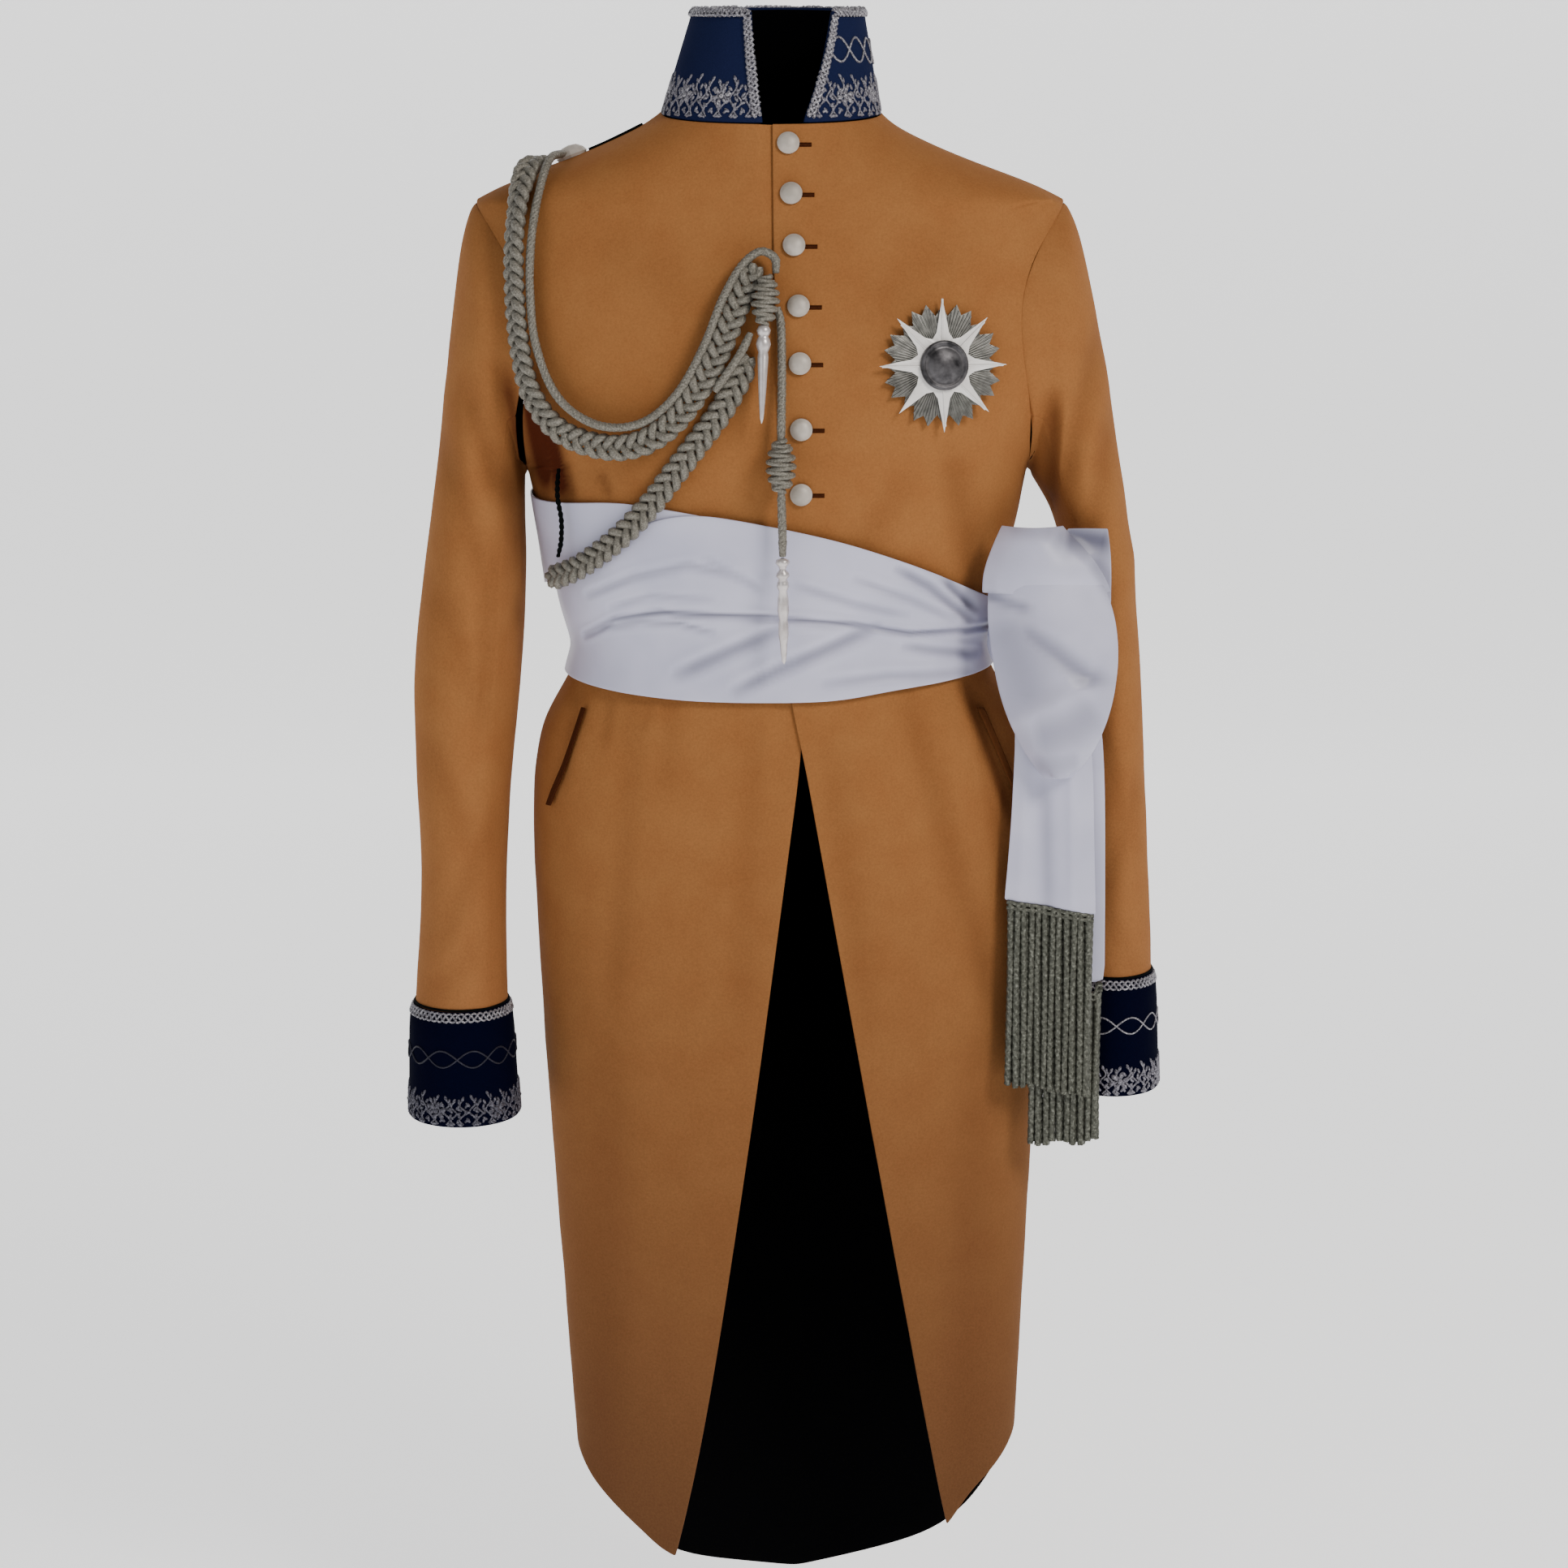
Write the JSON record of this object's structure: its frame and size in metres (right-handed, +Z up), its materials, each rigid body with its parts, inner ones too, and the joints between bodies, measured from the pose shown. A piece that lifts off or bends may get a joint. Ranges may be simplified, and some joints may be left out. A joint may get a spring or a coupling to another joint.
{
  "type": "military dress coat",
  "caption": "Worn, hollow dress coat with stand collar, cuffs, satin sash tied in a bow at the left hip, bullion fringe, breast star and silver aiguillette.",
  "frame": {"origin": "middle of the neck line, where the coat hangs on the wearer's shoulders", "axes": "+X to the wearer's left, +Y to the wearer's back, +Z up"},
  "size_m": [0.556, 0.2471, 1.195],
  "materials": {
    "wool": "napped wool",
    "black_lining": "plain lining",
    "navy_velvet": "velvet pile",
    "satin": "satin sheen",
    "silver_cord": "twisted silver thread",
    "silver": "polished with wear",
    "bullion": "silver bullion thread",
    "button": "matt silver",
    "white_enamel": "pale enamel",
    "oxidised": "dark oxidised silver",
    "welt": "dark edge"
  },
  "bodies": {
    "root": {"front_left": "wool", "front_right": "wool", "back_left": "wool", "back_right": "wool", "back_skirt_left": "wool", "back_skirt_right": "wool", "sleeve_left_top": "wool", "sleeve_left_under": "wool", "sleeve_right_top": "wool", "sleeve_right_under": "wool", "back_lining": "black_lining", "collar_lining": "black_lining", "collar": "navy_velvet", "cuff_left": "navy_velvet", "cuff_right": "navy_velvet", "shoulder_strap": "navy_velvet", "arm_loop": "navy_velvet", "sash_main": "satin", "sash_upper": "satin", "sash_knot": "satin", "bow_loop": "satin", "bow_crown": "satin", "bow_back": "satin", "tail_front": "satin", "tail_back": "satin", "plait_front": "silver_cord", "plait_under": "silver_cord", "cord_upper": "silver_cord", "cord_lower": "silver_cord", "cord_drop_1": "silver_cord", "cord_drop_2": "silver_cord", "knot_1": "silver_cord", "knot_2": "silver_cord", "tag_1": "silver", "tag_2": "silver", "star_rays": "silver", "fringe_front": "bullion", "fringe_back": "bullion", "button_1": "button", "button_2": "button", "button_3": "button", "button_4": "button", "button_5": "button", "button_6": "button", "button_7": "button", "shoulder_button": "button", "star_arms": "white_enamel", "star_centre": "oxidised", "pocket_welt_left": "welt", "pocket_welt_right": "welt"}
  },
  "joints": []
}
